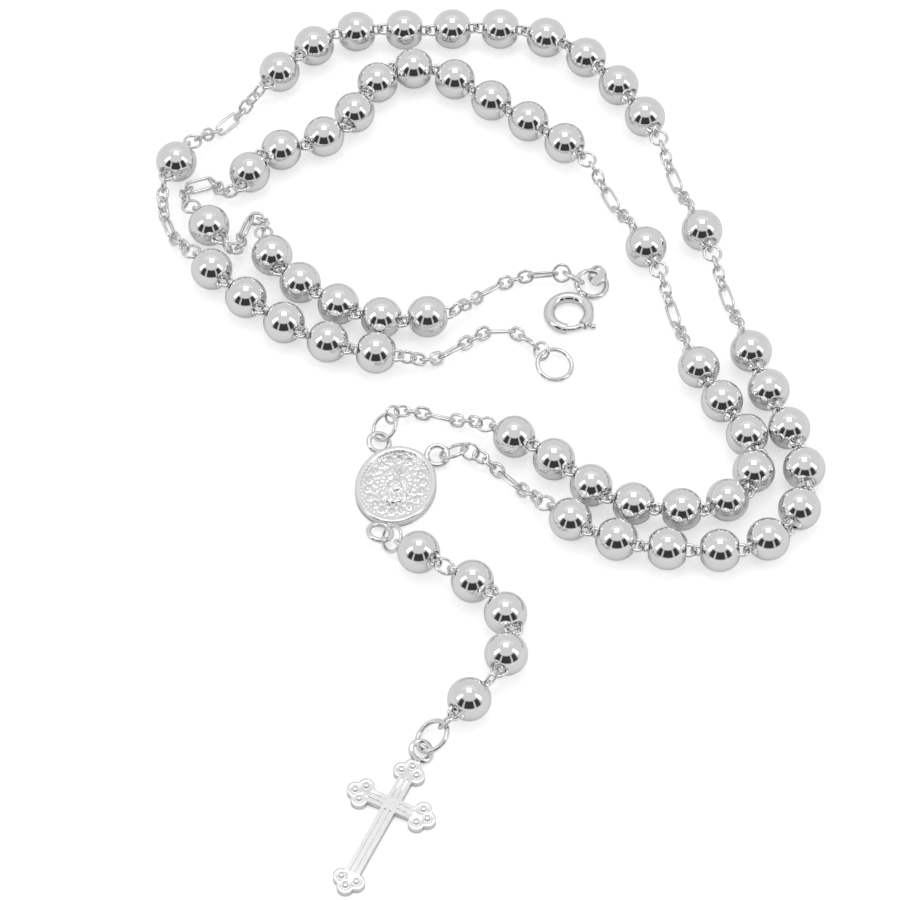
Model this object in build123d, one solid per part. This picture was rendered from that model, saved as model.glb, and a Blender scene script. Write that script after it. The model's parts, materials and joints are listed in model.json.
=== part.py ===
"""Silver five-decade rosary, laid out flat.

Fifty-nine round beads ride on double-eyed pins. The pins hook into each other and into figaro chain between
the decades. Rings join the three strands to an oval centre medal with three ears. A budded cross hangs from
the lower strand, and the necklace closes with a spring ring clasp, shown open beside its end ring.

Millimetres and degrees. The origin is the middle of the medal's flat back, +Z is up from the table, and +Y
runs from the cross towards the far end of the loop.
"""

import os
from math import asin, atan2, cos, degrees, hypot, radians, sin, sqrt

from build123d import *

# --- beads and their eye pins ---
bead_diameter = 6.0
bead_bore = 0.8
bead_mouth = 2.6
mouth_floor = 1.6
pin_wire = 0.5
pin_shank = 0.42
eye_outer = 2.3
eye_seat = 3.0

# --- what hooks into what ---
hook_play = 0.05
left_slack = 0.44
right_slack = 0.0
link_play = 0.12
ring_play = 0.3
run_on_steps = 12

# --- figaro chain ---
link_wire = 0.48
link_width = 2.1
short_link = 2.6
long_link = 4.7
end_loop = 2.9
end_loop_wire = 0.45
chain_height = 1.0
drape_links = 4.6
link_tilt = 45.0
first_link_turn = 70.0
last_link_turn = 65.0
ring_chain_roll = 60.0
clasp_chain_roll = 45.0
end_chain_roll = 50.0

# --- loose rings: outer size, wire, roll from level, and the height their strand has after them ---
jump_ring_outer = 4.5
jump_ring_wire = 0.55
jump_ring_roll = -32.0
jump_ring_top = 2.1
lower_ring_outer = 4.2
lower_ring_wire = 0.5
lower_ring_roll = 46.0
lower_ring_top = 2.4
first_bead_tip = 3.51
first_bead_roll = 55.0
last_bead_roll = -45.0
small_ring_rolls = (-15.0, 85.0, 55.0)
small_ring_outer = 3.2
small_ring_wire = 0.45
cross_ring_outer = 5.4
cross_ring_wire = 0.7
cross_ring_roll = 21.0
cross_ring_top = 2.5
clasp_ring_outer = 3.8
clasp_ring_wire = 0.6
clasp_ring_roll = -40.0
clasp_ring_top = 2.5
end_ring_outer = 5.6
end_ring_wire = 0.65
end_ring_top = 1.2

# --- centre medal ---
medal_width = 11.3
medal_length = 13.3
medal_thickness = 1.6
medal_rim = 0.75
medal_field_depth = 0.4
medal_edge = 0.25
medal_lean = 15.0
ear_outer = 3.7
ear_wire = 0.75
lower_ear_outer = 4.0
ear_height = 1.1
ear_angle = 33.0
ear_roll = 15.0
ear_bite = 0.35
medal_boss_width = 4.6
medal_boss_length = 6.4

# --- cross ---
cross_thickness = 1.1
cross_limb = 2.0
cross_foot = 15.0
cross_head = 7.7
cross_arm = 6.5
lobe_radius = 1.15
lobe_spread = 1.1
cross_ridge = 0.5
cross_groove = 0.25
groove_depth = 0.2
stud_radius = 0.45
stud_top = 0.25
stud_well = 0.62
stud_rise = 0.2
cross_eye_outer = 3.7
cross_eye_wire = 0.85
cross_eye_height = 1.05
cross_eye_roll = 25.0
cross_eye_bite = 0.4
cross_heading = 244.5

# --- clasp: the case's own frame has the neck along +Y ---
clasp_outer = 7.4
clasp_tube = 1.6
clasp_bore = 1.06
bolt_wire = 0.86
clasp_gap = 50.0
clasp_gap_at = 320.0
bolt_hold = 8.0
bolt_end_play = 2.0
bolt_tail = 40.0
bolt_travel = 48.0
thumb_at = 356.0
thumb_wire = 0.6
thumb_reach = 0.55
thumb_ball = 0.9
thumb_slot_play = 0.12
spring_arc = 92.0
spring_wire = 0.18
spring_turns = 9
spring_play = 0.06
spring_end_room = 6.0
points_per_turn = 8
bail_outer = 5.2
bail_wire = 0.75
bail_reach = 6.3
bail_roll = 10.5
collar_diameter = 1.5
collar_wall = 0.05
clasp_neck_heading = 58.0
clasp_pull_heading = -15.0
tag_length = 4.6
tag_width = 2.8
tag_thickness = 0.4
tag_hole = 1.9
tag_margin = 0.5
tag_at = 75.0
tag_turn = -150.0
tag_pitch = 20.0
tag_roll = 30.0
tag_shift = 0.15

UP = Vector(0, 0, 1)
bead_radius = bead_diameter / 2
eye_radius = (eye_outer - pin_wire) / 2
eye_tip = eye_seat + eye_radius

# --- how the strands lie: points on the table, from the medal outwards ---
left_route = [
    (1.0, 12.6), (5.4, 12.2), (10.8, 10.2), (17.2, 6.9), (23.6, 2.2), (29.0, -3.0), (35.3, -5.2),
    (41.4, -5.6), (46.6, -4.4), (50.2, -0.8), (51.0, 4.2),
    (48.8, 9.2), (46.0, 13.4), (43.2, 18.4), (40.4, 28.0),
    (37.0, 39.3), (32.0, 50.0), (25.8, 60.2), (21.1, 63.7), (16.1, 67.4), (9.7, 72.3), (3.2, 76.1),
    (-3.1, 74.2), (-6.2, 66.9), (-10.6, 61.5), (-16.5, 60.2), (-21.4, 57.6), (-22.8, 54.0), (-24.2, 51.6),
    (-25.9, 52.0), (-26.9, 54.6), (-28.6, 55.6), (-30.6, 54.0), (-31.4, 51.4), (-30.4, 48.8), (-27.4, 47.2),
    (-25.8, 44.6), (-25.4, 42.2), (-24.0, 41.0), (-22.9, 42.4), (-22.9, 45.6), (-21.8, 47.9), (-20.0, 47.5),
    (-19.4, 44.9), (-19.8, 41.8), (-19.2, 39.2), (-14.0, 35.0),
    (-9.2, 30.7), (-3.6, 28.4), (2.7, 27.6), (6.6, 28.6),
    (10.0, 31.4), (13.0, 34.8), (17.2, 36.6), (21.0, 36.8), (25.0, 36.8), (28.0, 36.4),
]
right_route = [
    (9.4, 5.6), (14.0, 2.9), (19.0, -2.4), (24.0, -7.2), (30.9, -10.8), (37.7, -12.3), (44.6, -12.4),
    (50.8, -11.8), (56.0, -6.8), (57.8, 0.3), (55.9, 7.6), (53.1, 14.3), (50.7, 21.7), (48.0, 32.0),
    (44.6, 43.6), (40.8, 55.0), (36.6, 66.4), (32.0, 73.3), (27.4, 78.6), (21.5, 82.2), (14.5, 83.6),
    (7.6, 83.2), (0.4, 83.0), (-7.0, 83.2), (-13.0, 80.4), (-17.7, 74.9), (-21.6, 70.4), (-26.8, 64.8),
    (-33.1, 57.7), (-34.5, 50.0), (-32.2, 43.4), (-26.7, 37.0), (-21.0, 31.0), (-15.2, 26.6), (-9.0, 23.2),
    (-1.9, 21.8), (4.0, 21.4), (7.6, 23.6), (11.2, 26.2),
    (14.6, 27.8), (17.4, 26.8), (19.6, 24.8), (22.2, 22.0),
]
pendant_route = [
    (0.4, -10.4), (3.0, -12.8), (10.4, -17.0), (15.6, -22.0), (16.4, -28.4), (11.4, -35.4), (8.6, -38.6),
    (5.0, -42.0),
]


def spun(x, y, angle):
    """A plan point turned about the origin."""
    a = radians(angle)
    return Vector(x * cos(a) - y * sin(a), x * sin(a) + y * cos(a), 0)


def heading(angle):
    """The level direction at an angle from +X."""
    return Vector(cos(radians(angle)), sin(radians(angle)), 0)


# --- hooking elements: each has a near wire at its own origin and a far wire one span along +X ---
class Hook:
    """One bead, link or ring: its shapes, span between wire centres, wire, play and roll."""

    def __init__(self, shapes, span, wire, play, roll=0.0):
        self.shapes = shapes
        self.span = span
        self.wire = wire
        self.play = play
        self.roll = roll

    def rolled(self, roll):
        return Hook(self.shapes, self.span, self.wire, self.play, roll)


def make_bead():
    """A bead turned about X: bored through, with a wide mouth at each end for the eyes of its pin."""
    bore = bead_bore / 2
    mouth = bead_mouth / 2
    edge = sqrt(bead_radius**2 - mouth**2)
    ball = RadiusArc((-edge, mouth), (edge, mouth), bead_radius, short_sagitta=True)
    right_side = [(edge, mouth), (mouth_floor, mouth), (mouth_floor, bore)]
    left_side = [(-x, y) for x, y in reversed(right_side)]
    inside = Polyline(*right_side, *left_side)
    return revolve(make_face([ball, inside]), Axis.X)


def wire_ring(outer, wire):
    """A level ring of wire round the origin, eight-sided in section."""
    section = Plane.XZ * Pos((outer - wire) / 2, 0) * RegularPolygon(wire / 2, 8)
    return revolve(section, Axis.Z)


def make_pin():
    """A straight pin with an upright eye at its near end and a level one at its far end."""
    shank = Rot(0, 90, 0) * Cylinder(pin_shank / 2, 2 * (eye_seat - eye_radius))
    eye = wire_ring(eye_outer, pin_wire)
    near_eye = Pos(-eye_seat, 0, 0) * Rot(90, 0, 0) * eye
    far_eye = Pos(eye_seat, 0, 0) * eye
    return shank + near_eye + far_eye


def make_ring(outer, wire):
    """A level wire ring whose near side is at the origin."""
    return Pos((outer - wire) / 2, 0, 0) * wire_ring(outer, wire)


def make_link(length):
    """A flattened oval chain link, level, whose near end is at the origin."""
    outside = SlotOverall(length, link_width)
    inside = SlotOverall(length - 2 * link_wire, link_width - 2 * link_wire)
    oval = extrude(outside - inside, amount=link_wire / 2, both=True)
    return Pos((length - link_wire) / 2, 0, 0) * oval


def ring_hook(outer, wire, play, roll=0.0):
    return Hook([make_ring(outer, wire)], outer - wire, wire, play, roll)


bead_at_hook = Pos(eye_tip, 0, 0)
BEAD = Hook([bead_at_hook * make_bead(), bead_at_hook * make_pin()], 2 * eye_tip, pin_wire, hook_play)
SHORT = Hook([make_link(short_link)], short_link - link_wire, link_wire, link_play)
LONG = Hook([make_link(long_link)], long_link - link_wire, link_wire, link_play)
LOOP = ring_hook(end_loop, end_loop_wire, link_play)


def figaro(repeats, first_roll=90.0, last_roll=0.0, tail=3):
    """A length of chain: short links by threes with a long one between, and a round loop at each end."""
    links = ([SHORT] * 3 + [LONG]) * repeats + [SHORT] * tail
    rolls = [link_tilt if number % 2 == 0 else -link_tilt for number in range(len(links))]
    rolls[0] = abs(first_roll - first_link_turn)
    rolls[-1] = last_roll + last_link_turn
    inner = [link.rolled(roll) for link, roll in zip(links, rolls)]
    return [LOOP.rolled(first_roll)] + inner + [LOOP.rolled(last_roll)]


def play_between(before, after, slack):
    """Running room between two hooked wires. Two pins have the strand's slack as well."""
    if before.play == after.play == hook_play:
        return hook_play + slack
    return max(before.play, after.play)


def overlap(before, after, slack):
    """How far the far wire of one element lies past the near wire of the next."""
    return (before.wire + after.wire) / 2 + play_between(before, after, slack)


# --- laying a strand out ---
def eased(links):
    """One at a chain's end, falling smoothly to nothing after a few links."""
    part = min(1.0, links / drape_links)
    return (1 - part) ** 2 * (1 + 2 * part)


def drape(number, count, start, end):
    """Height of a chain's joint: it falls from its neighbour at each end to the table."""
    fall = (start - chain_height) * eased(number)
    rise = (end - chain_height) * eased(count - number)
    return chain_height + fall + rise


def joint_heights(pieces, last_height):
    """The height of each element's near wire, for a list of (name, elements, height)."""
    heights = []
    starts = [piece[2] for piece in pieces] + [last_height]
    for (name, elements, start), end in zip(pieces, starts[1:]):
        count = len(elements)
        if name.startswith("chain"):
            heights += [drape(number, count, start, end) for number in range(count)]
        else:
            heights += [start + (end - start) * number / count for number in range(count)]
    return heights + [last_height]


def step_along(route, place, point, reach):
    """The route parameter at which the route is one reach from a point, in plan."""
    step = 0.25 * reach / route.length
    places = [place + step * count for count in range(1, 1 + int((1 - place) / step))]
    far = next(ahead for ahead in places if (route @ ahead - point).length >= reach)
    near = far - step
    for _ in range(20):
        middle = (near + far) / 2
        if (route @ middle - point).length < reach:
            near = middle
        else:
            far = middle
    return far


def lay(points, pieces, last, last_height, slack=0.0):
    """Lay a strand's pieces along a plan route. Gives {name: [(element, near point, next point)]}."""
    (x1, y1), (x2, y2) = points[-2:]
    run_on = (x2 + run_on_steps * (x2 - x1), y2 + run_on_steps * (y2 - y1))
    route = Spline(*[(x, y, 0) for x, y in points + [run_on]])
    elements = [(name, element) for name, parts, _ in pieces for element in parts]
    heights = joint_heights(pieces, last_height)
    place = 0.0
    point = route @ 0
    laid = {name: [] for name, _, _ in pieces}
    following = [element for _, element in elements[1:]] + [last]
    for number, ((name, element), after) in enumerate(zip(elements, following)):
        advance = element.span - overlap(element, after, slack)
        rise = heights[number + 1] - heights[number]
        place = step_along(route, place, point, sqrt(advance**2 - rise**2))
        following_point = route @ place
        near = point + UP * heights[number]
        far = following_point + UP * heights[number + 1]
        laid[name].append((element, near, far))
        point = following_point
    return laid


def frame_at(near, far, roll):
    """The placing of an element whose +X runs from its near point towards the next one."""
    along = (far - near).normalized()
    side = UP.cross(along).normalized()
    upright = along.cross(side)
    return Plane(origin=near, x_dir=along, z_dir=upright).location * Rot(roll, 0, 0)


def placed(shapes, location):
    return [location * shape for shape in shapes]


def solids_of_piece(laid_piece):
    """The placed solids of one piece."""
    solids = []
    for element, near, far in laid_piece:
        solids += placed(element.shapes, frame_at(near, far, element.roll))
    return solids


# --- the three strands ---
def ear_centre(angle, outer):
    """The middle of a medal ear, at an angle from the medal's long axis."""
    a = radians(angle)
    edge = 1 / hypot(sin(a) / (medal_width / 2), cos(a) / (medal_length / 2))
    reach = edge + outer / 2 - ear_bite
    return spun(reach * sin(a), reach * cos(a), -medal_lean)


def ear_hook(centre, outer, wire, towards):
    """Where a ring's near wire passes through an ear, on the side it is pulled towards."""
    direction = (Vector(*towards, 0) - centre).normalized()
    reach = (outer - ear_wire) / 2 - (ear_wire + wire) / 2 - ring_play
    return centre + direction * reach


def decade(name, beads_each=(2, 2, 2, 2, 2)):
    return [(f"{name}_{number}", [BEAD] * beads, bead_radius) for number, beads in enumerate(beads_each, 1)]


def half(side, first, second, third):
    """The pieces from the end of the first chain to the start of the last one on one side."""
    return (
        decade(f"decade_{first}")
        + [(f"chain_{side}_2", figaro(1), bead_radius), (f"single_{first}", [BEAD], bead_radius)]
        + [(f"chain_{side}_3", figaro(1), bead_radius)]
        + decade(f"decade_{second}")
        + [(f"chain_{side}_4", figaro(1), bead_radius), (f"single_{second}", [BEAD], bead_radius)]
        + [(f"chain_{side}_5", figaro(1), bead_radius)]
        + decade(f"decade_{third}", (2, 3))
    )


def medal_ears():
    """Each ear's centre and outer size, the wire of its ring and the side that the ring is pulled to."""
    return {
        "left": (ear_centre(-ear_angle, ear_outer), ear_outer, jump_ring_wire, left_route[0]),
        "right": (ear_centre(ear_angle, ear_outer), ear_outer, jump_ring_wire, right_route[0]),
        "lower": (ear_centre(180, lower_ear_outer), lower_ear_outer, lower_ring_wire, pendant_route[0]),
    }


def start_of(side):
    hook = ear_hook(*medal_ears()[side])
    return (hook.X, hook.Y)


JUMP = ring_hook(jump_ring_outer, jump_ring_wire, ring_play, jump_ring_roll)
LOWER = ring_hook(lower_ring_outer, lower_ring_wire, ring_play, lower_ring_roll)
SMALL = ring_hook(small_ring_outer, small_ring_wire, ring_play)
CROSS_RING = ring_hook(cross_ring_outer, cross_ring_wire, ring_play, cross_ring_roll)
CLASP_RING = ring_hook(clasp_ring_outer, clasp_ring_wire, ring_play, clasp_ring_roll)
END_RING = ring_hook(end_ring_outer, end_ring_wire, ring_play)
BAIL = ring_hook(bail_outer, bail_wire, ring_play)
CROSS_EYE = ring_hook(cross_eye_outer, cross_eye_wire, ring_play)

left_pieces = (
    [("jump_ring_left", [JUMP], ear_height)]
    + [("chain_left_1", figaro(1, first_roll=ring_chain_roll), jump_ring_top)]
    + half("left", "a", "b", "c")
    + [("chain_left_6", figaro(2, last_roll=clasp_chain_roll, tail=0), bead_radius)]
    + [("clasp_ring", [CLASP_RING], clasp_ring_top)]
)
right_pieces = (
    [("jump_ring_right", [JUMP], ear_height)]
    + [("chain_right_1", figaro(1, first_roll=ring_chain_roll), jump_ring_top)]
    + half("right", "d", "e", "f")
    + [("chain_right_6", figaro(2, last_roll=end_chain_roll), bead_radius)]
    + [("end_ring", [END_RING], end_ring_top)]
)
pendant_pieces = [
    ("jump_ring_lower", [LOWER], ear_height),
    ("pendant_bead_1", [BEAD.rolled(first_bead_roll)], lower_ring_top),
    ("pendant_ring_1", [SMALL.rolled(small_ring_rolls[0])], first_bead_tip),
    ("pendant_bead_2", [BEAD], bead_radius),
    ("pendant_bead_3", [BEAD], bead_radius),
    ("pendant_bead_4", [BEAD], bead_radius),
    ("pendant_ring_2", [SMALL.rolled(small_ring_rolls[1])], bead_radius),
    ("pendant_bead_5", [BEAD.rolled(last_bead_roll)], bead_radius),
    ("pendant_ring_3", [SMALL.rolled(small_ring_rolls[2])], bead_radius),
    ("cross_ring", [CROSS_RING], cross_ring_top),
]

# Heights of the last joints: the bail where it is pulled, the far side of the end ring, the cross eye.
clasp_height = clasp_tube / 2
bail_radius = (bail_outer - bail_wire) / 2
bail_side = sin(radians(clasp_neck_heading - clasp_pull_heading))
bail_hook_height = clasp_height + bail_radius * sin(radians(bail_roll)) * bail_side

# --- laid out ---
left_laid = lay([start_of("left")] + left_route, left_pieces, BAIL, bail_hook_height, left_slack)
end_ring_fall = (end_ring_top - end_ring_wire / 2) / END_RING.span
end_ring_far = end_ring_top - end_ring_fall * (END_RING.span - overlap(END_RING, END_RING, 0.0))
right_laid = lay([start_of("right")] + right_route, right_pieces, END_RING, end_ring_far, right_slack)
pendant_laid = lay([start_of("lower")] + pendant_route, pendant_pieces, CROSS_EYE, cross_eye_height)


# --- solid pieces ---
def make_medal():
    """An oval medal with a raised rim, a sunk field round a low boss, and three round ears."""
    blank = extrude(Ellipse(medal_width / 2, medal_length / 2), amount=medal_thickness)
    blank = fillet(blank.edges().group_by(Axis.Z)[-1], medal_edge)
    blank = chamfer(blank.edges().group_by(Axis.Z)[0], medal_edge)
    field = Ellipse(medal_width / 2 - medal_rim, medal_length / 2 - medal_rim)
    boss = Ellipse(medal_boss_width / 2, medal_boss_length / 2)
    sunk = Pos(0, 0, medal_thickness - medal_field_depth) * extrude(field - boss, amount=medal_thickness)
    medal = Rot(0, 0, -medal_lean) * (blank - sunk)
    for side, roll in (("left", ear_roll), ("right", ear_roll), ("lower", -ear_roll)):
        centre, outer, wire, towards = medal_ears()[side]
        hook = ear_hook(centre, outer, wire, towards)
        raised = UP * ear_height
        medal += frame_at(centre + raised, hook + raised, roll) * wire_ring(outer, ear_wire)
    return medal


def cross_ends():
    """The heading and the reach of each of the cross's four budded ends, with the foot along -Y."""
    return [(90, cross_head), (270, cross_foot), (0, cross_arm), (180, cross_arm)]


def lobe_places(angle, reach):
    """The three lobes of one end: one at the tip and one to each side."""
    tip = reach - lobe_radius
    places = [(tip, 0), (tip - lobe_spread, lobe_spread), (tip - lobe_spread, -lobe_spread)]
    return [spun(along, across, angle) for along, across in places]


def make_cross():
    """A budded cross with ridged limbs and three studs in round wells at each end, and its eye."""
    outline = Sketch()
    grooves = Part()
    studs = []
    wells = Part()
    groove_gap = (cross_ridge + cross_groove) / 2
    stud = Cone(stud_radius, stud_top, 2 * stud_rise)
    for angle, reach in cross_ends():
        tip = reach - lobe_radius - lobe_spread
        outline += Rot(0, 0, angle) * Pos(tip / 2, 0, 0) * Rectangle(tip, cross_limb)
        for side in (-1, 1):
            groove = Box(tip - lobe_spread - cross_limb / 2, cross_groove, 2 * groove_depth)
            middle = (tip - lobe_spread + cross_limb / 2) / 2
            grooves += Rot(0, 0, angle) * Pos(middle, side * groove_gap, cross_thickness) * groove
        for place in lobe_places(angle, reach):
            outline += Pos(place) * Circle(lobe_radius)
            wells += Pos(place.X, place.Y, cross_thickness) * Cylinder(stud_well, 2 * stud_rise)
            studs.append(Pos(place.X, place.Y, cross_thickness) * stud)
    body = extrude(outline, amount=cross_thickness) - grooves - wells
    for placed_stud in studs:
        body += placed_stud
    eye_reach = cross_head + cross_eye_outer / 2 - cross_eye_bite
    eye = Rot(0, cross_eye_roll, 0) * wire_ring(cross_eye_outer, cross_eye_wire)
    return body + Pos(0, eye_reach, cross_eye_height) * eye


def ring_arc(section, start, end):
    """A section carried along the clasp's ring from one angle to another."""
    placed_section = Plane.XZ * Pos((clasp_outer - clasp_tube) / 2, 0) * section
    return Rot(0, 0, start) * revolve(placed_section, Axis.Z, end - start)


# The bolt's tip sits just inside the case; its tail is held back by the spring.
gap_start = clasp_gap_at - clasp_gap / 2
gap_end = clasp_gap_at + clasp_gap / 2
bolt_start = gap_start - bolt_hold
bore_tip = bolt_start - bolt_end_play
spring_start = thumb_at + bolt_tail


def make_clasp_case():
    """The ring tube with its mouth, bore and thumb slot, and the collar and bail of its neck."""
    solid = Circle(clasp_tube / 2)
    bored = solid - Circle(clasp_bore / 2)
    case = ring_arc(bored, gap_end, spring_start + spring_arc)
    case += ring_arc(solid, spring_start + spring_arc, bore_tip + 360)
    case += ring_arc(bored, bore_tip + 360, gap_start + 360)
    bail = Pos(0, bail_reach, 0) * Rot(0, bail_roll, 0) * wire_ring(bail_outer, bail_wire)
    collar_start = (clasp_outer - clasp_tube + clasp_bore) / 2 + collar_wall
    collar_end = bail_reach - bail_radius
    collar = Rot(90, 0, 0) * Cylinder(collar_diameter / 2, collar_end - collar_start)
    collar = Pos(0, (collar_start + collar_end) / 2, 0) * collar
    slot_width = thumb_wire + 2 * thumb_slot_play
    slot_play_angle = degrees(asin(slot_width / (clasp_outer - clasp_tube)))
    slot_profile = Plane.XZ * Pos(clasp_outer / 2, 0) * Rectangle(clasp_tube, slot_width)
    slot = revolve(slot_profile, Axis.Z, bolt_travel + 2 * slot_play_angle)
    slot = Rot(0, 0, thumb_at - slot_play_angle) * slot
    return case + bail + collar - slot


def make_clasp_bolt():
    """The bent bolt that closes the mouth, with the thumb stud that draws it back."""
    ring_radius = (clasp_outer - clasp_tube) / 2
    bar = ring_arc(Circle(bolt_wire / 2), bolt_start, thumb_at + bolt_tail)
    stud_end = clasp_outer / 2 + thumb_reach
    stud_length = stud_end - ring_radius
    stud = Pos(ring_radius + stud_length / 2, 0, 0) * Rot(0, 90, 0) * Cylinder(thumb_wire / 2, stud_length)
    knob = Pos(stud_end, 0, 0) * Sphere(thumb_ball / 2)
    return bar + Rot(0, 0, thumb_at) * (stud + knob)


def make_clasp_spring():
    """The coil behind the bolt, wound along the bore and let out to its full length."""
    ring_radius = (clasp_outer - clasp_tube) / 2
    coil_radius = (clasp_bore - spring_wire) / 2 - spring_play
    steps = spring_turns * points_per_turn
    wound_arc = spring_arc - 2 * spring_end_room
    points = []
    for step in range(steps + 1):
        around = radians(360 * step / points_per_turn)
        reach = ring_radius + coil_radius * cos(around)
        place = spun(reach, 0, spring_start + spring_end_room + wound_arc * step / steps)
        points.append(place + UP * coil_radius * sin(around))
    path = Spline(*points)
    return sweep(Plane(origin=path @ 0, z_dir=path % 0) * Circle(spring_wire / 2), path)


def make_tag():
    """A thin oval tag running along +X, with a hole near one end. The hole's middle is at the origin."""
    middle = tag_length / 2 - tag_margin - tag_hole / 2
    oval = Pos(middle, 0) * Ellipse(tag_length / 2, tag_width / 2)
    return extrude(oval - Circle(tag_hole / 2), amount=tag_thickness / 2, both=True)


def last_of(laid, name):
    """The near point of a strand's last piece and the point that it hooks next."""
    _, near, far = laid[name][-1]
    return near, far


# The clasp lies level and its bail is pulled by the clasp ring.
_, bail_pull = last_of(left_laid, "clasp_ring")
bail_centre = Vector(bail_pull.X, bail_pull.Y, clasp_height) + heading(clasp_pull_heading) * bail_radius
clasp_centre = bail_centre - heading(clasp_neck_heading) * bail_reach
clasp_location = Pos(clasp_centre) * Rot(0, 0, clasp_neck_heading - 90)

# The tag is threaded on the far side of the bail and leans back over it.
bail_fall = bail_radius * sin(radians(bail_roll)) * sin(radians(clasp_neck_heading - tag_at))
tag_wire = bail_centre + heading(tag_at) * bail_radius - UP * bail_fall
tag_way = heading(tag_at + tag_turn) * cos(radians(tag_pitch)) + UP * sin(radians(tag_pitch))
tag_start = tag_wire + tag_way * tag_shift
tag_location = frame_at(tag_start, tag_start + tag_way, tag_roll)

# The cross hangs from its ring, straight on from it.
ring_near, eye_near = last_of(pendant_laid, "cross_ring")
cross_eye_radius = (cross_eye_outer - cross_eye_wire) / 2
cross_down = heading(cross_heading)
eye_centre = Vector(eye_near.X, eye_near.Y, 0) + cross_down * cross_eye_radius
cross_centre = eye_centre + cross_down * (cross_head + cross_eye_outer / 2 - cross_eye_bite)
cross_location = Pos(cross_centre) * Rot(0, 0, cross_heading + 90)

pieces = {"centre_medal": [make_medal()]}
for laid_strand in (left_laid, right_laid, pendant_laid):
    for name, laid_piece in laid_strand.items():
        pieces[name] = solids_of_piece(laid_piece)
pieces["clasp_case"] = placed([make_clasp_case()], clasp_location)
pieces["clasp_bolt"] = placed([make_clasp_bolt()], clasp_location)
pieces["clasp_spring"] = placed([make_clasp_spring()], clasp_location)
pieces["clasp_tag"] = placed([make_tag()], tag_location)
pieces["cross"] = placed([make_cross()], cross_location)

os.makedirs("parts", exist_ok=True)
for name, solids in pieces.items():
    export_step(Compound(children=solids), f"parts/{name}.step")
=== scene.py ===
# %% [markdown]
# A silver rosary, laid on a white table.
#
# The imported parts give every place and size. This notebook gives each part its looks: mirror-bright hollow
# beads on eye pins, round-wire rings, a figaro chain, a medal with a wreath in relief, a budded cross and a
# spring ring clasp. All lengths are in metres, and the rosary rests at z = 0.

# %% Set up
import json
import math

import bmesh
import bpy
import numpy as np
from mathutils import Matrix, Vector
from mathutils.bvhtree import BVHTree

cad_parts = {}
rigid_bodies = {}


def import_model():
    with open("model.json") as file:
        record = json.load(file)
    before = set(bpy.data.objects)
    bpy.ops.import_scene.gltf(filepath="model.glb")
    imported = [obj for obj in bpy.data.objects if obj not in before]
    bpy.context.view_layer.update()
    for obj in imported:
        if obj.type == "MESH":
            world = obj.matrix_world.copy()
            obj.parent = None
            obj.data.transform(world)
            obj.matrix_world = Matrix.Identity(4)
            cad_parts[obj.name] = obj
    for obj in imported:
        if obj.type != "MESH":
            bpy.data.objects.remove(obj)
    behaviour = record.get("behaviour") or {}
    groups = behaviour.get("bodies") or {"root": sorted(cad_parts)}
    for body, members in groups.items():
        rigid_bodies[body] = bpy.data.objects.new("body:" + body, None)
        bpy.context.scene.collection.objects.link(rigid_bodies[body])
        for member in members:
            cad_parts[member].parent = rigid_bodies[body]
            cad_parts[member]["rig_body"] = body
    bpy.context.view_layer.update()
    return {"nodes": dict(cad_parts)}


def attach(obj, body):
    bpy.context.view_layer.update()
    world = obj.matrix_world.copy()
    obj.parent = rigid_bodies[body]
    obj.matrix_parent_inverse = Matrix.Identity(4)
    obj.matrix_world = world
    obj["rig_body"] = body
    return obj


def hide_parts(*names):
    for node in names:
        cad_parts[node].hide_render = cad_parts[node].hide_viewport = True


MM = 0.001
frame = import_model()
nodes = frame["nodes"]

# %% [markdown]
# Every chain piece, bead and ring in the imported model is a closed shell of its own. Splitting a part into
# shells and measuring each one tells where a bead sits, which way its pin runs and how each link is turned.
# The three main directions of a shell come from the spread of its points: the widest spread runs along a
# link, the narrowest is square to the plane of a ring.

# %% Split a part into shells
def shells_of(node):
    """The corner points of each closed shell of a CAD node, merged."""
    work = bmesh.new()
    work.from_mesh(nodes[node].data)
    bmesh.ops.remove_doubles(work, verts=work.verts, dist=1e-7)
    unseen = set(work.verts)
    shells = []
    while unseen:
        front = [unseen.pop()]
        found = list(front)
        while front:
            corner = front.pop()
            for edge in corner.link_edges:
                other = edge.other_vert(corner)
                if other in unseen:
                    unseen.remove(other)
                    front.append(other)
                    found.append(other)
        shells.append(np.array([v.co[:] for v in found]))
    work.free()
    return shells


def main_directions(points):
    """The middle of some points, their three main directions as rows, widest first, and their sizes."""
    middle = points.mean(0)
    _, axes = np.linalg.eigh(np.cov((points - middle).T))
    rows = axes.T[::-1].copy()
    rows[2] = np.cross(rows[0], rows[1])
    along = (points - middle) @ rows.T
    low, high = along.min(0), along.max(0)
    centre = middle + ((low + high) / 2) @ rows
    return centre, rows, high - low


shells = {name: shells_of(name) for name in nodes}
print("shells:", sum(len(found) for found in shells.values()))

# %% [markdown]
# A shell's measured size says what it is. A bead is as deep as it is wide, an eye pin is long and thin, an
# end loop is as long as it is wide, and what is left is an oval link. A bead is set from its pin, so its
# own shell is passed over. Each point carries the number of the form to set there and the turn to set it
# at.

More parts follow.
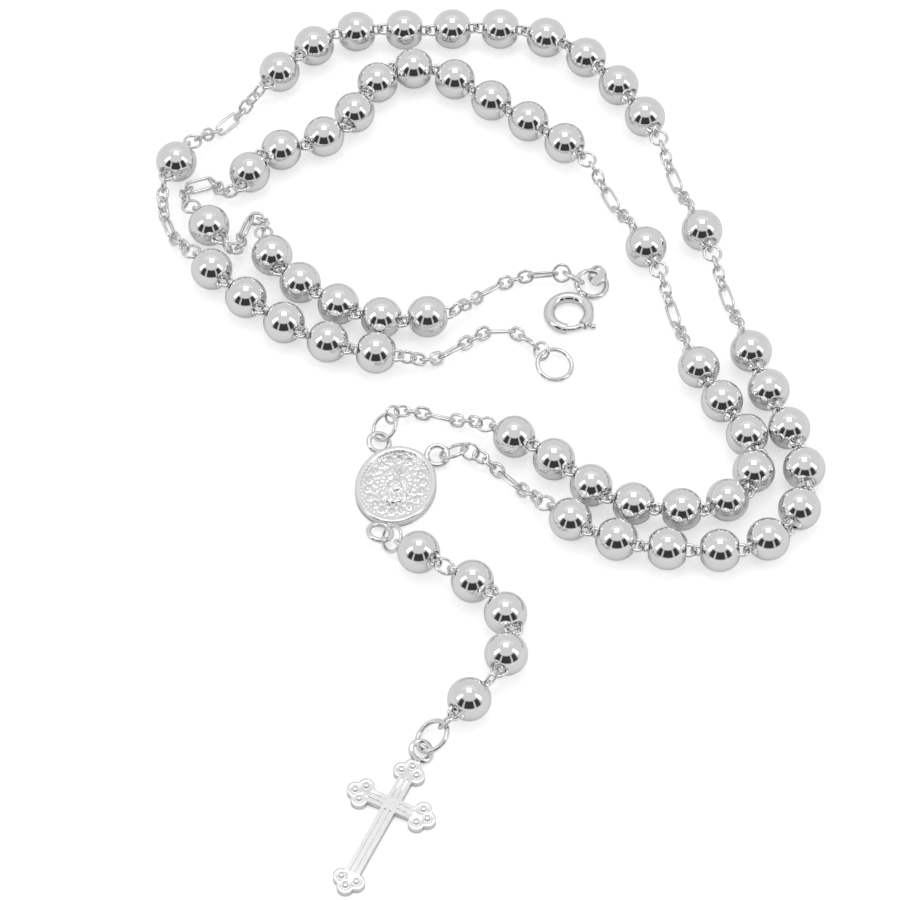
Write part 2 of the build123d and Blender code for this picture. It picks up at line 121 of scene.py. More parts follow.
# %% Read the beads, pins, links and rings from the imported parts
BEAD, EYE, SHORT_LINK, LONG_LINK, END_LOOP, RING = range(6)
BEAD_LEAST_DEPTH = 5 * MM
PIN_LEAST_LENGTH = 7 * MM
LONG_LINK_LEAST = 4 * MM
ROUND_WITHIN = 1.1
EYE_OUTER = 2.3 * MM
SHORT_LENGTH = 2.6 * MM
LONG_LENGTH = 4.7 * MM
LINK_WIDTH = 2.1 * MM
PIN_WIRE = 0.5 * MM
LINK_WIRE = 0.48 * MM
LOOP_OUTER = 2.9 * MM
LOOP_WIRE = 0.45 * MM
RING_WIRE = {
    "jump_ring_left": 0.55 * MM,
    "jump_ring_right": 0.55 * MM,
    "jump_ring_lower": 0.5 * MM,
    "pendant_ring_1": 0.45 * MM,
    "pendant_ring_2": 0.45 * MM,
    "pendant_ring_3": 0.45 * MM,
    "cross_ring": 0.7 * MM,
    "clasp_ring": 0.6 * MM,
    "end_ring": 0.65 * MM,
}


def turn_of(x_way, z_way):
    """The Euler turn that carries +X to one direction and +Z near to another."""
    x_way = Vector(x_way).normalized()
    y_way = Vector(z_way).cross(x_way).normalized()
    z_way = x_way.cross(y_way)
    return Matrix((x_way, y_way, z_way)).transposed().to_euler()


def pin_points(points, centre, ways, size):
    """A bead point at the pin's middle, and an eye point at each of its ends."""
    found = [(BEAD, centre, turn_of(ways[0], ways[2]))]
    along = (points - centre) @ ways[0]
    for side in (-1, 1):
        eye = points[along * side > size[0] / 2 - EYE_OUTER]
        _, eye_ways, _ = main_directions(eye)
        seat = centre + ways[0] * side * (size[0] - EYE_OUTER) / 2
        found.append((EYE, seat, turn_of(ways[0] * side, eye_ways[2])))
    return found


def points_of(node):
    """What each shell of a node is, where its middle is and how it is turned."""
    found = []
    for points in shells[node]:
        centre, ways, size = main_directions(points)
        if size[2] > BEAD_LEAST_DEPTH:
            continue
        if size[0] > PIN_LEAST_LENGTH:
            found += pin_points(points, centre, ways, size)
        elif node in RING_WIRE:
            found.append((RING, centre, turn_of(ways[0], ways[2])))
        elif size[0] < ROUND_WITHIN * size[1]:
            found.append((END_LOOP, centre, turn_of(ways[0], ways[2])))
        else:
            form = LONG_LINK if size[0] > LONG_LINK_LEAST else SHORT_LINK
            found.append((form, centre, turn_of(ways[0], ways[2])))
    return found


STRUNG = [name for name in nodes if name.startswith(("decade", "single", "pendant_bead", "chain"))]
STRUNG += list(RING_WIRE)
places = {name: points_of(name) for name in STRUNG}
print("places:", sum(len(found) for found in places.values()))

# %% [markdown]
# Silver reflects nearly everything, so its look is all in how smooth it is. The recipe is a pure metal
# with a pale colour, which a wider noise darkens a little in patches, as a trace of tarnish does. A fine
# noise changes how sharp the reflection is from place to place, as wear and polishing do, and a faint bump
# keeps large faces from looking computer-perfect. Each finish is the same recipe with other numbers: beads
# are burnished brightest, wire is drawn, castings are tumbled.

# %% The silver recipe
def silver(name, colour, dull, grain, bump, stain=0.0, stain_size=900.0):
    """A polished metal. Dull is a mean roughness, grain and stain_size are in 1/m, bump in metres."""
    finish = bpy.data.materials.new(name)
    finish.use_nodes = True
    tree = finish.node_tree
    metal = tree.nodes["Principled BSDF"]
    metal.inputs["Metallic"].default_value = 1.0
    place = tree.nodes.new("ShaderNodeTexCoord")
    noise = tree.nodes.new("ShaderNodeTexNoise")
    noise.inputs["Scale"].default_value = grain
    noise.inputs["Detail"].default_value = 4.0
    tree.links.new(place.outputs["Object"], noise.inputs["Vector"])
    dullness = tree.nodes.new("ShaderNodeMapRange")
    dullness.inputs["To Min"].default_value = dull * 0.6
    dullness.inputs["To Max"].default_value = dull * 1.4
    tree.links.new(noise.outputs["Fac"], dullness.inputs["Value"])
    tree.links.new(dullness.outputs["Result"], metal.inputs["Roughness"])
    relief = tree.nodes.new("ShaderNodeBump")
    relief.inputs["Strength"].default_value = 0.25
    relief.inputs["Distance"].default_value = bump
    tree.links.new(noise.outputs["Fac"], relief.inputs["Height"])
    tree.links.new(relief.outputs["Normal"], metal.inputs["Normal"])
    tone = tree.nodes.new("ShaderNodeTexNoise")
    tone.inputs["Scale"].default_value = stain_size
    tree.links.new(place.outputs["Object"], tone.inputs["Vector"])
    tint = tree.nodes.new("ShaderNodeMix")
    tint.data_type = "RGBA"
    tint.inputs[6].default_value = (*colour, 1.0)
    tint.inputs[7].default_value = (*[c * (1 - stain) for c in colour], 1.0)
    tree.links.new(tone.outputs["Fac"], tint.inputs["Factor"])
    tree.links.new(tint.outputs[2], metal.inputs["Base Color"])
    return finish


bead_silver = silver("burnished_bead_silver", (0.95, 0.94, 0.945), 0.035, 4000, 1e-6, stain=0.04)
chain_silver = silver("chain_silver", (0.88, 0.88, 0.885), 0.12, 6000, 4e-6, stain=0.05)
wire_silver = silver("drawn_wire_silver", (0.9, 0.895, 0.9), 0.08, 5000, 3e-6, stain=0.05)
cast_silver = silver("tumbled_cast_silver", (0.93, 0.93, 0.935), 0.15, 3500, 8e-6, stain=0.06)
spring_wire = silver("spring_steel_wire", (0.6, 0.6, 0.63), 0.25, 9000, 3e-6, stain=0.1)
print("finishes:", len(bpy.data.materials))

# %% [markdown]
# Rings, eyes and links are all the same idea: a round section carried along a closed path. A small node
# tree draws the path, stretches it into an oval where the piece is a link, and sweeps the wire round it.
# The tree's inputs are the outer length, the outer width and the wire, so one tree serves every ring and
# link.

# %% A node tree for bent wire
def socket(tree, name, kind, value=None):
    """A named input of a node tree."""
    made = tree.interface.new_socket(name, in_out="INPUT", socket_type=kind)
    if value is not None:
        made.default_value = value
    return made


def maths(tree, operation, first, second):
    """A Math node. Each side is a number or another node's output."""
    node = tree.nodes.new("ShaderNodeMath")
    node.operation = operation
    for slot, value in enumerate((first, second)):
        if isinstance(value, (int, float)):
            node.inputs[slot].default_value = value
        else:
            tree.links.new(value, node.inputs[slot])
    return node.outputs[0]


def bent_wire_tree():
    """A ring or an oval link of round wire, level, with its length along X."""
    tree = bpy.data.node_groups.new("bent wire", "GeometryNodeTree")
    for name in ("Length", "Width", "Wire"):
        socket(tree, name, "NodeSocketFloat")
    for name in ("Steps round", "Steps of section"):
        socket(tree, name, "NodeSocketInt", 8)
    tree.interface.new_socket("Geometry", in_out="OUTPUT", socket_type="NodeSocketGeometry")
    given = tree.nodes.new("NodeGroupInput").outputs
    radius = maths(tree, "MULTIPLY", maths(tree, "SUBTRACT", given["Width"], given["Wire"]), 0.5)
    path = tree.nodes.new("GeometryNodeCurvePrimitiveCircle")
    tree.links.new(given["Steps round"], path.inputs["Resolution"])
    tree.links.new(radius, path.inputs["Radius"])
    half_more = maths(tree, "MULTIPLY", maths(tree, "SUBTRACT", given["Length"], given["Width"]), 0.5)
    place = tree.nodes.new("GeometryNodeInputPosition")
    split = tree.nodes.new("ShaderNodeSeparateXYZ")
    tree.links.new(place.outputs[0], split.inputs[0])
    share = maths(tree, "DIVIDE", split.outputs["X"], radius)
    eased = maths(tree, "MAXIMUM", maths(tree, "MINIMUM", maths(tree, "MULTIPLY", share, 4.0), 1.0), -1.0)
    offset = tree.nodes.new("ShaderNodeCombineXYZ")
    tree.links.new(maths(tree, "MULTIPLY", eased, half_more), offset.inputs["X"])
    stretch = tree.nodes.new("GeometryNodeSetPosition")
    tree.links.new(path.outputs["Curve"], stretch.inputs["Geometry"])
    tree.links.new(offset.outputs[0], stretch.inputs["Offset"])
    section = tree.nodes.new("GeometryNodeCurvePrimitiveCircle")
    tree.links.new(given["Steps of section"], section.inputs["Resolution"])
    tree.links.new(maths(tree, "MULTIPLY", given["Wire"], 0.5), section.inputs["Radius"])
    sweep = tree.nodes.new("GeometryNodeCurveToMesh")
    tree.links.new(stretch.outputs["Geometry"], sweep.inputs["Curve"])
    tree.links.new(section.outputs["Curve"], sweep.inputs["Profile Curve"])
    result = tree.nodes.new("NodeGroupOutput")
    tree.links.new(sweep.outputs["Mesh"], result.inputs["Geometry"])
    return tree


def set_inputs(modifier, values):
    """Give a node modifier's inputs by their names, through the sockets' identifiers."""
    for item in modifier.node_group.interface.items_tree:
        if item.item_type == "SOCKET" and item.in_out == "INPUT" and item.name in values:
            modifier[item.identifier] = values[item.name]


def baked(obj):
    """The plain mesh that an object's modifiers make of it."""
    bpy.context.view_layer.update()
    seen = obj.evaluated_get(bpy.context.evaluated_depsgraph_get())
    return bpy.data.meshes.new_from_object(seen)


BENT_WIRE = bent_wire_tree()


def bent_wire(length, width, wire, steps, section_steps):
    """The mesh of one ring or link."""
    holder = bpy.data.objects.new("wire", bpy.data.meshes.new("wire"))
    bpy.context.scene.collection.objects.link(holder)
    modifier = holder.modifiers.new("bend", "NODES")
    modifier.node_group = BENT_WIRE
    sizes = {"Length": length, "Width": width, "Wire": wire}
    set_inputs(modifier, {**sizes, "Steps round": steps, "Steps of section": section_steps})
    mesh = baked(holder)
    bpy.data.objects.remove(holder)
    return mesh


print("trial link faces:", len(bent_wire(SHORT_LENGTH, LINK_WIDTH, LINK_WIRE, 16, 6).polygons))

# %% [markdown]
# A hollow bead is spun from sheet: a ball with a soft-edged mouth at each end where the eye goes in. A
# lathe suits it, so its half outline is turned about X. The outline starts inside one mouth, rounds its
# lip, follows the ball and ends inside the other mouth.

# %% The bead on its lathe
BEAD_RADIUS = 3.0 * MM
MOUTH_RADIUS = 1.3 * MM
LIP = 0.12 * MM
MOUTH_DEPTH = 1.2 * MM


def turned(outline, steps):
    """A mesh made by turning an outline of (x, radius) points about X."""
    mesh = bpy.data.meshes.new("turned")
    count = len(outline)
    corners = []
    for step in range(steps):
        angle = 2 * math.pi * step / steps
        corners += [(x, r * math.cos(angle), r * math.sin(angle)) for x, r in outline]
    faces = []
    for step in range(steps):
        here, there = step * count, (step + 1) % steps * count
        faces += [(here + i, there + i, there + i + 1, here + i + 1) for i in range(count - 1)]
    mesh.from_pydata(corners, [], faces)
    work = bmesh.new()
    work.from_mesh(mesh)
    bmesh.ops.remove_doubles(work, verts=work.verts, dist=1e-8)
    bmesh.ops.recalc_face_normals(work, faces=work.faces)
    work.to_mesh(mesh)
    work.free()
    return mesh


def bead_outline():
    """Half of the bead's outline, from inside one mouth to inside the other."""
    start = math.asin((MOUTH_RADIUS + LIP) / BEAD_RADIUS)
    steps = 26
    ball = []
    for step in range(steps + 1):
        angle = start + (math.pi - 2 * start) * step / steps
        ball.append((-BEAD_RADIUS * math.cos(angle), BEAD_RADIUS * math.sin(angle)))
    edge = -ball[0][0]
    lip = [(-edge + 0.3 * LIP, MOUTH_RADIUS + 0.25 * LIP), (-edge + LIP, MOUTH_RADIUS)]
    floor = [(-edge + MOUTH_DEPTH, MOUTH_RADIUS * 0.9), (-edge + MOUTH_DEPTH, 0.0)]
    side = floor[::-1] + lip[::-1]
    return side + ball + [(-x, r) for x, r in side[::-1]]


bead_mesh = turned(bead_outline(), 40)
print("bead faces:", len(bead_mesh.polygons))

# %% [markdown]
# Each end of a pin is bent into a round eye, and the wire's end is wound against its own stem. The eye is a
# ring, and a short stem runs from it into the bead.

# %% The eye with its stem
STEM_REACH = 1.0 * MM
WINDING_REACH = 0.35 * MM
WINDING_TURNS = 2
TURN_PITCH = 0.16 * MM


def joined(meshes):
    """One mesh from several."""
    work = bmesh.new()
    for mesh in meshes:
        work.from_mesh(mesh)
    result = bpy.data.meshes.new("joined")
    work.to_mesh(result)
    work.free()
    return result


def eye_mesh():
    """A ring of wire at the origin with a stem that runs back along -X into the bead."""
    ring = bent_wire(EYE_OUTER, EYE_OUTER, PIN_WIRE, 18, 8)
    back = -(EYE_OUTER - PIN_WIRE) / 2
    thick = PIN_WIRE * 0.48
    swell = thick * 1.35
    stem = [(back - STEM_REACH, 0), (back - STEM_REACH, thick), (back - WINDING_REACH, thick)]
    wound = []
    for step in range(WINDING_TURNS):
        start = back - WINDING_REACH + step * TURN_PITCH
        wound += [(start + 0.03 * MM, swell), (start + 0.12 * MM, swell), (start + 0.15 * MM, thick)]
    end = [(back + 0.1 * MM, thick), (back + 0.1 * MM, 0)]
    return joined([ring, turned(stem + wound + end, 8)])


FORMS = {
    BEAD: bead_mesh,
    EYE: eye_mesh(),
    SHORT_LINK: bent_wire(SHORT_LENGTH, LINK_WIDTH, LINK_WIRE, 16, 6),
    LONG_LINK: bent_wire(LONG_LENGTH, LINK_WIDTH, LINK_WIRE, 18, 6),
    END_LOOP: bent_wire(LOOP_OUTER, LOOP_OUTER, LOOP_WIRE, 18, 6),
}
print("forms:", {form: len(mesh.polygons) for form, mesh in FORMS.items()})

# %% [markdown]
# Fifty-nine beads and more than a hundred links are set by one node tree. It takes the points of one part,
# picks a form for each point by its number, turns it by the stored turn, makes the copies real and gives
# them their finish. The tree runs once for each part, because each part moves by itself.

# %% The tree that sets forms on points
def setting_tree():
    """Sets the collection's forms on points that carry 'form' and 'turn', then gives them a material."""
    tree = bpy.data.node_groups.new("set the pieces", "GeometryNodeTree")
    socket(tree, "Points", "NodeSocketGeometry")
    socket(tree, "Forms", "NodeSocketCollection")
    socket(tree, "Finish", "NodeSocketMaterial")
    tree.interface.new_socket("Pieces", in_out="OUTPUT", socket_type="NodeSocketGeometry")
    given = tree.nodes.new("NodeGroupInput").outputs
    forms = tree.nodes.new("GeometryNodeCollectionInfo")
    forms.inputs["Separate Children"].default_value = True
    forms.inputs["Reset Children"].default_value = True
    tree.links.new(given["Forms"], forms.inputs["Collection"])
    which = tree.nodes.new("GeometryNodeInputNamedAttribute")
    which.data_type = "INT"
    which.inputs["Name"].default_value = "form"
    turn = tree.nodes.new("GeometryNodeInputNamedAttribute")
    turn.data_type = "FLOAT_VECTOR"
    turn.inputs["Name"].default_value = "turn"
    turning = tree.nodes.new("FunctionNodeEulerToRotation")
    tree.links.new(turn.outputs["Attribute"], turning.inputs[0])
    setter = tree.nodes.new("GeometryNodeInstanceOnPoints")
    setter.inputs["Pick Instance"].default_value = True
    tree.links.new(given["Points"], setter.inputs["Points"])
    tree.links.new(forms.outputs["Instances"], setter.inputs["Instance"])
    tree.links.new(which.outputs["Attribute"], setter.inputs["Instance Index"])
    tree.links.new(turning.outputs["Rotation"], setter.inputs["Rotation"])
    real = tree.nodes.new("GeometryNodeRealizeInstances")
    tree.links.new(setter.outputs["Instances"], real.inputs["Geometry"])
    finish = tree.nodes.new("GeometryNodeSetMaterial")
    tree.links.new(real.outputs["Geometry"], finish.inputs["Geometry"])
    tree.links.new(given["Finish"], finish.inputs["Material"])
    result = tree.nodes.new("NodeGroupOutput")
    tree.links.new(finish.outputs["Geometry"], result.inputs["Pieces"])
    return tree


SETTING = setting_tree()
print("setting tree nodes:", len(SETTING.nodes))

# %% Lay out the forms in a collection, in the order of their numbers
tray = bpy.data.collections.new("tray")
bpy.context.scene.collection.children.link(tray)


def put_in_tray(number, mesh):
    """Keep a form in the tray under its number."""
    for face in mesh.polygons:
        face.use_smooth = True
    form = bpy.data.objects.new(f"form_{number}", mesh)
    tray.objects.link(form)
    return form


for number, mesh in FORMS.items():
    put_in_tray(number, mesh)
# This ring is a stand-in, because each ring part brings a ring of its own size.
ring_form = put_in_tray(RING, bent_wire(5 * MM, 5 * MM, 0.6 * MM, 32, 12))


def ring_for(node):
    """A ring of the size of a CAD ring, with a finer section because it is seen large."""
    _, _, size = main_directions(shells[node][0])
    mesh = bent_wire(size[0], size[0], RING_WIRE[node], 40, 12)
    for face in mesh.polygons:
        face.use_smooth = True
    return mesh


def stand_for(piece, node):
    """A finished piece takes a CAD node's place and body, and the node is hidden."""
    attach(piece, nodes[node]["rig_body"])
    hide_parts(node)
    return piece


def set_pieces(node, finish):
    """One plain mesh of all the pieces of a node."""
    found = places[node]
    mesh = bpy.data.meshes.new(node)
    mesh.from_pydata([tuple(centre) for _, centre, _ in found], [], [])
    forms = mesh.attributes.new("form", "INT", "POINT")
    forms.data.foreach_set("value", [form for form, _, _ in found])
    turns = mesh.attributes.new("turn", "FLOAT_VECTOR", "POINT")
    turns.data.foreach_set("vector", [angle for _, _, turn in found for angle in turn])
    holder = bpy.data.objects.new("points", mesh)
    bpy.context.scene.collection.objects.link(holder)
    if node in RING_WIRE:
        ring_form.data = ring_for(node)
    modifier = holder.modifiers.new("set", "NODES")
    modifier.node_group = SETTING
    set_inputs(modifier, {"Forms": tray, "Finish": finish})
    made = baked(holder)
    bpy.data.objects.remove(holder)
    piece = bpy.data.objects.new(node + "_look", made)
    bpy.context.scene.collection.objects.link(piece)
    return stand_for(piece, node)


for node in STRUNG:
    if node in RING_WIRE:
        set_pieces(node, wire_silver)
    elif node.startswith("chain"):
        set_pieces(node, chain_silver)
    else:
        set_pieces(node, bead_silver)
set_faces = sum(len(o.data.polygons) for o in bpy.data.objects if o.name.endswith("_look"))
print("faces of the strung pieces:", set_faces)

# %% [markdown]
# The medal, cross, clasp and tag are cast or stamped pieces whose main shapes are already in the packed
# parts, and so is the coil of the spring. In a copy of such a part the doubled corners of its triangles
# are merged. The medal and the cross also get narrowly rounded edges, because polishing always softens an
# edge and a soft edge catches the light. The clasp, spring and tag keep the edges of their parts. Large
# flat faces then lead the shading, so a flat stays flat right up to its edge.

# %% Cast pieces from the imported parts
CROSS_ROUNDING = 0.05 * MM
MEDAL_ROUNDING = 0.08 * MM


def cleaned(node):
    """A merged copy of a CAD node's mesh."""
    work = bmesh.new()
    work.from_mesh(nodes[node].data)
    bmesh.ops.remove_doubles(work, verts=work.verts, dist=1e-7)
    mesh = bpy.data.meshes.new(node)
    work.to_mesh(mesh)
    work.free()
    return mesh


def cast_piece(node, finish, rounding, crease=52):
    """A look for a node, smooth where it bends less than the crease. Rounding softens its edges."""
    mesh = cleaned(node)
    piece = bpy.data.objects.new(node + "_look", mesh)
    bpy.context.scene.collection.objects.link(piece)
    mesh.materials.append(finish)
    for face in mesh.polygons:
        face.use_smooth = True
    if rounding:
        soften = piece.modifiers.new("soften", "BEVEL")
        soften.width = rounding
        soften.segments = 2
        soften.limit_method = "ANGLE"
        soften.angle_limit = math.radians(crease)
        soften.use_clamp_overlap = True
        rounded = baked(piece)
        piece.modifiers.remove(soften)
        piece.data = rounded
    piece.data.set_sharp_from_angle(angle=math.radians(crease))
    flats = piece.modifiers.new("flats_lead", "WEIGHTED_NORMAL")
    flats.keep_sharp = True
    shaded = baked(piece)
    piece.modifiers.remove(flats)
    piece.data = shaded
    return stand_for(piece, node)


cross_piece = cast_piece("cross", cast_silver, CROSS_ROUNDING, crease=35)
case_piece = cast_piece("clasp_case", wire_silver, 0.0, crease=50)
bolt_piece = cast_piece("clasp_bolt", wire_silver, 0.0, crease=50)
tag_piece = cast_piece("clasp_tag", cast_silver, 0.0, crease=35)
spring_piece = cast_piece("clasp_spring", spring_wire, 0.0, crease=60)
medal_piece = cast_piece("centre_medal", cast_silver, MEDAL_ROUNDING)
for piece in (cross_piece, case_piece, bolt_piece, tag_piece, spring_piece, medal_piece):
    print(piece.name, len(piece.data.polygons))

# %% [markdown]
# The medal's field carries a stamped relief. A stamped surface is a height for every place on it, so a fine
# oval net of points is lifted by a rule: a bead line inside the rim, a wreath of small roses, and in the
# middle a plain heart under a small cross with rays.

# %% The medal's relief
MEDAL_LEAN = math.radians(-15)
FIELD_WIDTH = 9.72 * MM
FIELD_LENGTH = 11.72 * MM
FIELD_LEVEL = 1.19 * MM
ROSES = 18
ROSE_RADIUS = 0.78 * MM
ROSE_HEIGHT = 0.3 * MM
WREATH_AT = 0.77
HEART_HEIGHT = 0.3 * MM
HEART_SIZE = 1.75 * MM
HEART_DROP = 0.35 * MM
CROSS_RISE = 1.75 * MM
RAYS = 20
RIM_BEADS = 54
RIM_BEAD_HEIGHT = 0.16 * MM
SKIN = 0.02 * MM
PETALS = 5


def hill(distance, width):
    """A smooth hill: one at its middle, nothing beyond its width."""
    part = np.clip(1 - distance / width, 0, 1)
    return part * part * (3 - 2 * part)


def rose_height(x, y):
    """The wreath: roses set evenly along an oval, each with swirled petals, and leaf dots between."""
    height = np.zeros_like(x)
    for number in range(ROSES):
        angle = 2 * math.pi * number / ROSES
        rx = WREATH_AT * FIELD_WIDTH / 2 * math.cos(angle)
        ry = WREATH_AT * FIELD_LENGTH / 2 * math.sin(angle)
        far = np.hypot(x - rx, y - ry)
        around = np.arctan2(y - ry, x - rx)
        petals = 0.72 + 0.28 * np.cos(PETALS * around + 7 * far / ROSE_RADIUS + number)
        eye = 0.25 * hill(far, 0.3 * ROSE_RADIUS)
        rose = hill(far, ROSE_RADIUS) * petals + eye
        between = angle + math.pi / ROSES
        for reach in (WREATH_AT - 0.13, WREATH_AT + 0.13):
            lx = reach * FIELD_WIDTH / 2 * math.cos(between)
            ly = reach * FIELD_LENGTH / 2 * math.sin(between)
            rose = np.maximum(rose, 0.6 * hill(np.hypot(x - lx, y - ly), 0.36 * MM))
        height = np.maximum(height, rose * ROSE_HEIGHT)
    return height


def heart_height(x, y):
    """A domed heart with a small cross above it and rays round both."""
    u, v = x / HEART_SIZE, (y + HEART_DROP) / HEART_SIZE
    inside = (u**2 + v**2 - 0.55) ** 3 - u**2 * v**3
    heart = np.clip(-inside / 0.05, 0, 1) ** 0.5 * (0.75 + 0.25 * np.clip(1 - u**2 - v**2, 0, 1))
    cross_y = y - CROSS_RISE
    post = hill(np.abs(x), 0.26 * MM) * hill(np.abs(cross_y), 0.95 * MM) ** 0.3
    beam = hill(np.abs(cross_y - 0.15 * MM), 0.26 * MM) * hill(np.abs(x), 0.7 * MM) ** 0.3
    far = np.hypot(x, y)
    around = np.arctan2(y, x)
    rays = hill(np.abs(np.sin(RAYS / 2 * around)), 0.75) * hill(np.abs(far - 2.35 * MM), 0.75 * MM)
    return np.maximum.reduce([heart, 0.8 * post, 0.8 * beam, 0.35 * rays]) * HEART_HEIGHT


def struck_level(x, y):
    """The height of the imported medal's face at each place, found by looking straight down at it."""
    medal = medal_piece.data
    face = BVHTree.FromPolygons([v.co for v in medal.vertices], [list(p.vertices) for p in medal.polygons])
    down = Vector((0, 0, -1))
    found = [face.ray_cast(Vector((px, py, 1)), down)[0] for px, py in zip(x.ravel(), y.ravel())]
    return np.array([place.z if place else FIELD_LEVEL for place in found]).reshape(x.shape)


def relief_mesh(rings=74, spokes=216):
    """The field as an oval net laid on the medal's face, lifted by rim beads, wreath and heart."""
    share = np.linspace(0, 1, rings + 1)[1:, None]
    angle = np.linspace(0, 2 * math.pi, spokes, endpoint=False)[None, :]
    x = share * FIELD_WIDTH / 2 * np.cos(angle)
    y = share * FIELD_LENGTH / 2 * np.sin(angle)
    dots = 0.5 + 0.5 * np.cos(RIM_BEADS * angle)
    beads = RIM_BEAD_HEIGHT * hill(np.abs(share - 0.955), 0.035) * dots
    height = np.maximum.reduce([rose_height(x, y), heart_height(x, y), beads])
    grain = 0.012 * MM * np.sin(x * 9000 + 3 * np.sin(y * 7000)) * np.sin(y * 8000)
    turn_x = x * math.cos(MEDAL_LEAN) - y * math.sin(MEDAL_LEAN)
    turn_y = x * math.sin(MEDAL_LEAN) + y * math.cos(MEDAL_LEAN)
    level = np.where(share < 0.9, struck_level(turn_x, turn_y) + SKIN, FIELD_LEVEL)
    z = level + height + grain * (share < 0.93)
    corners = np.stack([turn_x, turn_y, z], -1).reshape(-1, 3)
    middle = len(corners)
    top = float(z[0].mean())
    corners = np.vstack([corners, [[0, 0, top]]])
    faces = [(middle, s, (s + 1) % spokes) for s in range(spokes)]
    for ring in range(rings - 1):
        a, b = ring * spokes, (ring + 1) * spokes
        faces += [(a + s, b + s, b + (s + 1) % spokes, a + (s + 1) % spokes) for s in range(spokes)]
    mesh = bpy.data.meshes.new("medal_relief")
    mesh.from_pydata(corners.tolist(), [], faces)
    for face in mesh.polygons:
        face.use_smooth = True
    return mesh


relief = bpy.data.objects.new("medal_relief", relief_mesh())
bpy.context.scene.collection.objects.link(relief)
relief.data.materials.append(cast_silver)
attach(relief, "centre_medal")
print("relief faces:", len(relief.data.polygons))

# %% [markdown]
# Silver shows its surroundings, so the room matters as much as the finish. The room is a pale studio: a
# white backdrop for the camera alone, one square soft light overhead and a little behind, and a strip at
# each side. A dim side of the room, low in front, gives the beads the dark core that makes polished metal
# read as metal. Two pale columns part it, and the far wall is a little brighter.

# %% The room
# Each band is a middle, a half width and a soft edge, in degrees up or round.
DIM_UP = (24, 21, 7)
DIM_ROUND = (0, 62, 12)
COLUMN_ROUND = (30, 5, 3)
FAR_UP = (53, 9, 8)
FAR_ROUND = (180, 55, 20)
ROOM_LEVEL = 0.68
DIM_DEPTH = 0.64
COLUMN_SHARE = 0.8
FAR_LIFT = 0.12
FILL_LEVEL = 0.62


def room_light(world):
    """The camera sees plain white, metal sees the room's bands, and the rest gets an even fill."""
    world.use_nodes = True
    tree = world.node_tree
    tree.nodes.clear()
    view = tree.nodes.new("ShaderNodeTexCoord")
    way = tree.nodes.new("ShaderNodeSeparateXYZ")
    tree.links.new(view.outputs["Generated"], way.inputs[0])
    height = maths(tree, "ARCSINE", way.outputs["Z"], 0)
    side = maths(tree, "ARCTAN2", way.outputs["X"], maths(tree, "MULTIPLY", way.outputs["Y"], -1.0))

    def window(value, middle, half, soft):
        """One inside a band of angles, nothing outside it, with a soft edge."""
        away = maths(tree, "ABSOLUTE", maths(tree, "SUBTRACT", value, math.radians(middle)), 0)
        edge = maths(tree, "SUBTRACT", math.radians(half + soft / 2), away)
        share = maths(tree, "DIVIDE", edge, math.radians(soft))
        return maths(tree, "MINIMUM", maths(tree, "MAXIMUM", share, 0), 1)

    dim = maths(tree, "MULTIPLY", window(height, *DIM_UP), window(side, *DIM_ROUND))
    column = window(maths(tree, "ABSOLUTE", side, 0), *COLUMN_ROUND)
    parting = maths(tree, "SUBTRACT", 1.0, maths(tree, "MULTIPLY", column, COLUMN_SHARE))
    dim = maths(tree, "MULTIPLY", dim, parting)
    far_wall = window(maths(tree, "ABSOLUTE", side, 0), *FAR_ROUND)
    far_wall = maths(tree, "MULTIPLY", window(height, *FAR_UP), far_wall)
    level = maths(tree, "SUBTRACT", ROOM_LEVEL, maths(tree, "MULTIPLY", dim, DIM_DEPTH))
    level = maths(tree, "ADD", level, maths(tree, "MULTIPLY", far_wall, FAR_LIFT))
    room = tree.nodes.new("ShaderNodeCombineXYZ")
    for axis in "XYZ":
        tree.links.new(level, room.inputs[axis])
    seen_by_metal = tree.nodes.new("ShaderNodeBackground")
    tree.links.new(room.outputs[0], seen_by_metal.inputs["Color"])
    backdrop = tree.nodes.new("ShaderNodeBackground")
    backdrop.inputs["Color"].default_value = (1, 1, 1, 1)
    fill = tree.nodes.new("ShaderNodeBackground")
    fill.inputs["Color"].default_value = (FILL_LEVEL, FILL_LEVEL, FILL_LEVEL, 1)
    ray = tree.nodes.new("ShaderNodeLightPath")
    glossy = tree.nodes.new("ShaderNodeMixShader")
    tree.links.new(ray.outputs["Is Glossy Ray"], glossy.inputs[0])
    tree.links.new(fill.outputs[0], glossy.inputs[1])
    tree.links.new(seen_by_metal.outputs[0], glossy.inputs[2])
    straight = tree.nodes.new("ShaderNodeMixShader")
    tree.links.new(ray.outputs["Is Camera Ray"], straight.inputs[0])
    tree.links.new(glossy.outputs[0], straight.inputs[1])
    tree.links.new(backdrop.outputs[0], straight.inputs[2])
    result = tree.nodes.new("ShaderNodeOutputWorld")
    tree.links.new(straight.outputs[0], result.inputs["Surface"])


scene = bpy.context.scene
scene.world = bpy.data.worlds.new("studio")
room_light(scene.world)
print("room made")

# %% Soft lights
LIGHTS_AIM = Vector((8 * MM, 16 * MM, 0))


def soft_light(name, azimuth, elevation, distance, width, length, level):
    """A square or strip light aimed near the rosary's middle. Azimuth 0 is in front, 90 at the right."""
    lamp = bpy.data.lights.new(name, "AREA")
    lamp.shape = "RECTANGLE"
    lamp.size, lamp.size_y = width, length
    lamp.energy = level * width * length * math.pi
    a, e = math.radians(azimuth), math.radians(elevation)
    way = Vector((math.sin(a) * math.cos(e), -math.cos(a) * math.cos(e), math.sin(e)))
    holder = bpy.data.objects.new(name, lamp)
    holder.location = LIGHTS_AIM + way * distance
    holder.rotation_mode = "QUATERNION"
    holder.rotation_quaternion = way.to_track_quat("Z", "Y")
    scene.collection.objects.link(holder)
    return holder


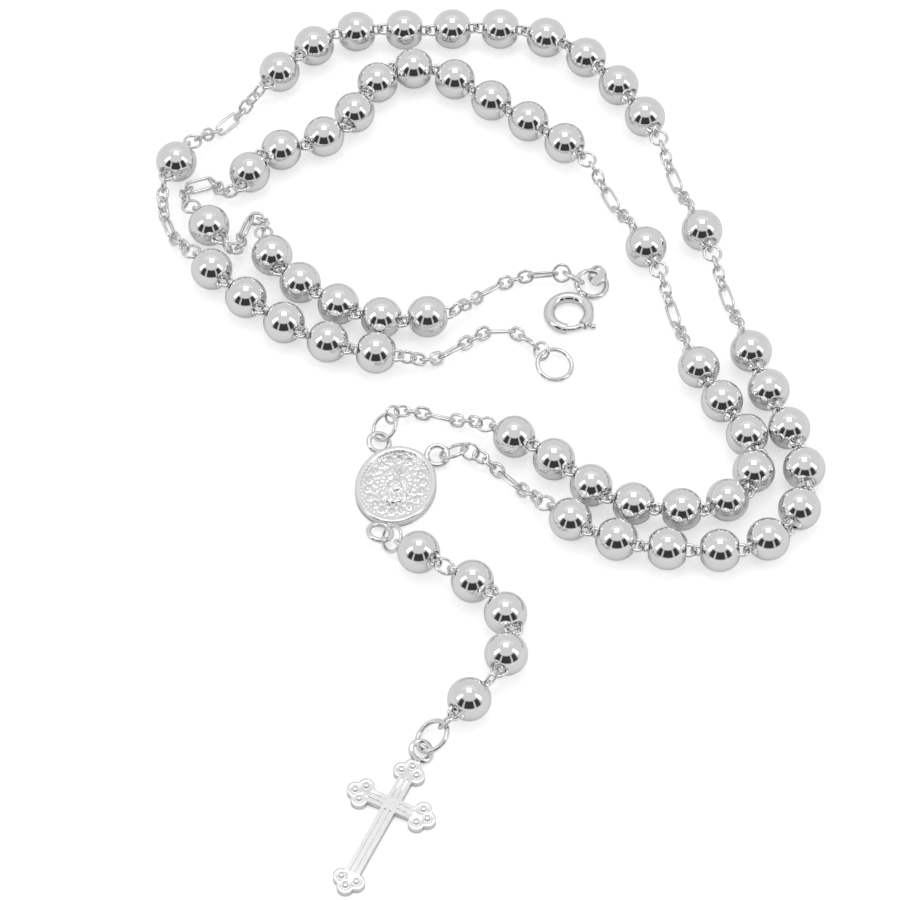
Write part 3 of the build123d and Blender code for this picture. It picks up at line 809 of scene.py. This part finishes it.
soft_light("overhead", 180, 77, 1.2, 0.5, 0.5, 1.6)
soft_light("left_strip", 286, 38, 1.2, 0.3, 0.8, 1.2)
soft_light("right_strip", 74, 38, 1.2, 0.3, 0.8, 1.2)

# %% The table
HAIR = 0.01 * MM
TABLE_HALF = 6.0
PAPER_GLOW = 0.45


def table_paper():
    """White paper. A glow that only the camera sees whitens it, and its lit colour keeps the shadows."""
    paper = bpy.data.materials.new("white_paper")
    paper.use_nodes = True
    tree = paper.node_tree
    cover = tree.nodes["Principled BSDF"]
    cover.inputs["Base Color"].default_value = (0.92, 0.92, 0.92, 1)
    cover.inputs["Roughness"].default_value = 1.0
    cover.inputs["Specular IOR Level"].default_value = 0.0
    glow = tree.nodes.new("ShaderNodeEmission")
    glow.inputs["Strength"].default_value = PAPER_GLOW
    ray = tree.nodes.new("ShaderNodeLightPath")
    nothing = tree.nodes.new("ShaderNodeEmission")
    nothing.inputs["Strength"].default_value = 0.0
    chosen = tree.nodes.new("ShaderNodeMixShader")
    tree.links.new(ray.outputs["Is Camera Ray"], chosen.inputs[0])
    tree.links.new(nothing.outputs[0], chosen.inputs[1])
    tree.links.new(glow.outputs[0], chosen.inputs[2])
    both = tree.nodes.new("ShaderNodeAddShader")
    tree.links.new(cover.outputs[0], both.inputs[0])
    tree.links.new(chosen.outputs[0], both.inputs[1])
    tree.links.new(both.outputs[0], tree.nodes["Material Output"].inputs["Surface"])
    return paper


def table_sheet(half):
    """A level square of paper, a hair below what rests on it so that no two faces lie in one plane."""
    mesh = bpy.data.meshes.new("table")
    corners = [(-half, -half, -HAIR), (half, -half, -HAIR), (half, half, -HAIR), (-half, half, -HAIR)]
    mesh.from_pydata(corners, [], [(0, 1, 2, 3)])
    sheet = bpy.data.objects.new("table", mesh)
    scene.collection.objects.link(sheet)
    mesh.materials.append(table_paper())
    return sheet


table_sheet(TABLE_HALF)
print("table laid")

# %% [markdown]
# The camera looks down at the table from a little over half a right angle, from far away through a long
# lens, so the near and far beads look almost the same size.

# %% The camera
CAMERA_AT = Vector((7.61 * MM, -363.9 * MM, 510.5 * MM))
CAMERA_AIM = Vector((7.61 * MM, 6.96 * MM, 0))

lens = bpy.data.cameras.new("camera")
lens.lens = 178.6
lens.sensor_width = 36
lens.clip_start = 0.01
lens.clip_end = 50
camera = bpy.data.objects.new("camera", lens)
camera.location = CAMERA_AT
camera.rotation_mode = "QUATERNION"
camera.rotation_quaternion = (CAMERA_AT - CAMERA_AIM).to_track_quat("Z", "Y")
scene.collection.objects.link(camera)
scene.camera = camera
scene.view_settings.view_transform = "Standard"
print("camera at:", tuple(camera.location))

# %% Clear the tray
for form in list(tray.objects):
    bpy.data.objects.remove(form)
bpy.data.collections.remove(tray)
